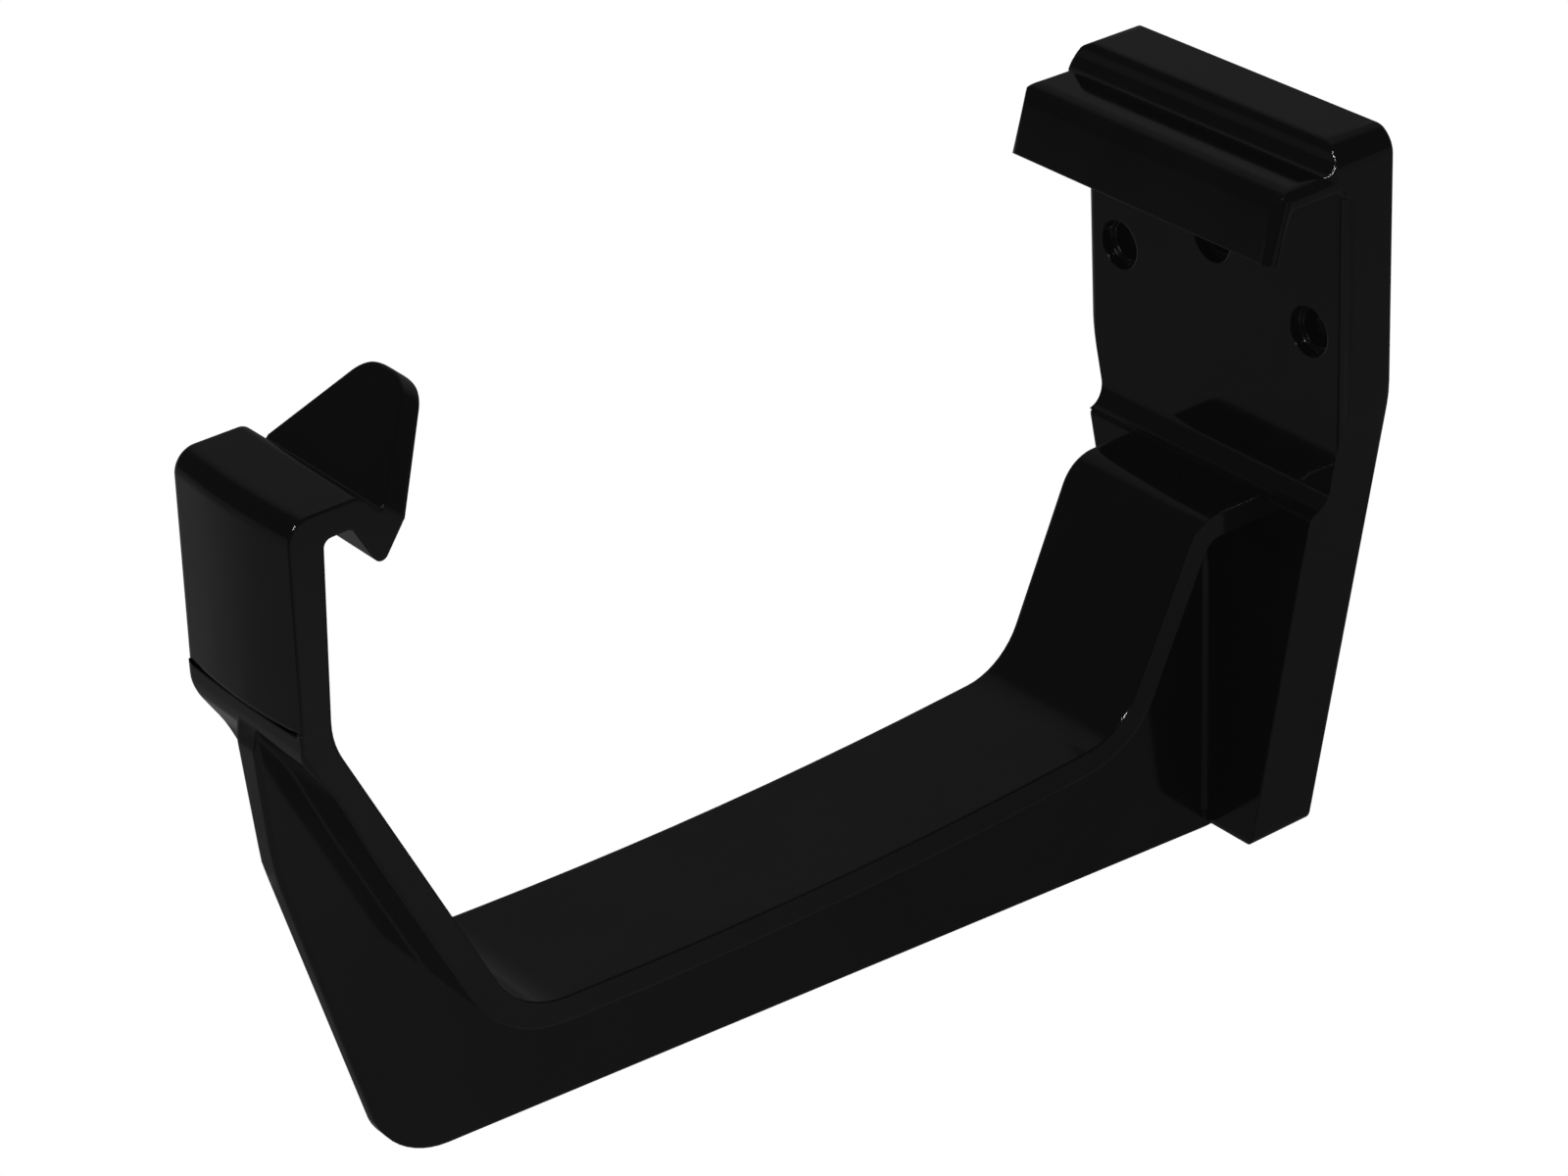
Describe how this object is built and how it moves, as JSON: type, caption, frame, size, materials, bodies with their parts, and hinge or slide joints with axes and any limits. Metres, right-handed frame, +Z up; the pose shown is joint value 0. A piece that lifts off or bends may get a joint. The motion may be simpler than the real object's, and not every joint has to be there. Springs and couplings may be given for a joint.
{
  "type": "gutter bracket",
  "caption": "Moulded plastic fascia bracket that cradles a square-line rain gutter: screw plate, flat strap on a thin web, rear lip and front snap hook with thumb tab.",
  "frame": {"origin": "on the fascia plane, midway between the two lower screw holes", "axes": "+Z up, fascia plane is Y = 0 with the bracket at negative Y, X runs along the gutter"},
  "size_m": [0.0394, 0.1254, 0.0899],
  "materials": {
    "bracket": "black rigid PVC with a mirror gloss from a polished mould"
  },
  "bodies": {
    "root": {"bracket": "bracket"}
  },
  "joints": []
}
